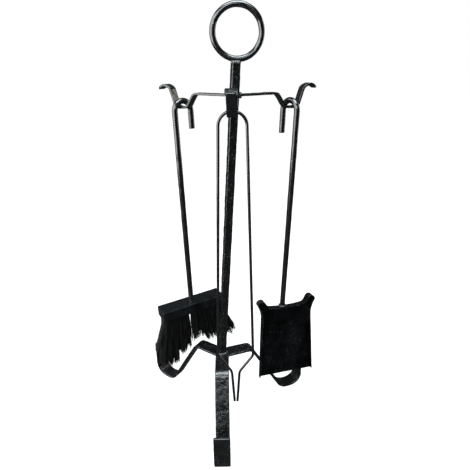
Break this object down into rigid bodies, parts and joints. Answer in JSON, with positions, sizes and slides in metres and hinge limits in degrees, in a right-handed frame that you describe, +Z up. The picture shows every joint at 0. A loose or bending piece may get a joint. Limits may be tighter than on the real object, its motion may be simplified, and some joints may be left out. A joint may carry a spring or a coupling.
{
  "type": "fireplace tool set",
  "caption": "Black forged-steel fireplace stand with a carrying ring and strap hooks, holding a hearth brush, an ash shovel and spring tongs.",
  "frame": {"origin": "on the floor, under the middle of the whole set's bounding box", "axes": "+Z up; the front leg and the tongs' hook point towards -Y; the brush hangs on the -X side and the shovel on the +X side"},
  "size_m": [0.338, 0.2822, 0.732],
  "materials": {
    "stand_paint": "semi-gloss black over a hammered surface, worn pale at the edges",
    "bar_paint": "gloss black on round bar",
    "pan_paint": "satin black sheet, scuffed inside",
    "block_paint": "satin black, rubbed at the corners",
    "bristle": "stiff black fibre",
    "weld_metal": "painted weld bead with bright spots"
  },
  "bodies": {
    "stand": {"post": "stand_paint", "carry_ring": "bar_paint", "ring_weld": "weld_metal", "front_hook": "stand_paint", "left_hook": "stand_paint", "right_hook": "stand_paint", "hook_welds": "weld_metal", "left_leg": "stand_paint", "front_leg": "stand_paint", "right_leg": "stand_paint", "leg_weld": "weld_metal"},
    "brush": {"brush_handle": "bar_paint", "brush_block": "block_paint", "bristles_left": "bristle", "bristles_middle": "bristle", "bristles_right": "bristle"},
    "shovel": {"shovel_handle": "bar_paint", "shovel_pan": "pan_paint", "pan_welds": "weld_metal"},
    "tongs": {"tongs_bow": "bar_paint"},
    "tongs_left": {"tongs_left_arm": "bar_paint"},
    "tongs_right": {"tongs_right_arm": "bar_paint"}
  },
  "joints": [
    {"name": "brush_lift", "type": "slide", "parent": "stand", "child": "brush", "axis": [0, 0, 1], "range_m": [0, 0.06]},
    {"name": "shovel_lift", "type": "slide", "parent": "stand", "child": "shovel", "axis": [0, 0, 1], "range_m": [0, 0.065]},
    {"name": "tongs_lift", "type": "slide", "parent": "stand", "child": "tongs", "axis": [0, 0, 1], "range_m": [0, 0.045]},
    {"name": "tongs_left_open", "type": "hinge", "parent": "tongs", "child": "tongs_left", "pos_m": [-0.01314, -0.06641, 0.56838], "axis": [0.0436, 0.999, 0], "range_deg": [0, 6], "stiffness_Nm_per_rad": 1.5},
    {"name": "tongs_right_open", "type": "hinge", "parent": "tongs", "child": "tongs_right", "pos_m": [0.02643, -0.06814, 0.56838], "axis": [-0.0436, -0.999, 0], "range_deg": [0, 6], "stiffness_Nm_per_rad": 1.5}
  ],
  "couplings": [
    {"joint": "tongs_right_open", "follows": "tongs_left_open", "ratio": 1}
  ]
}
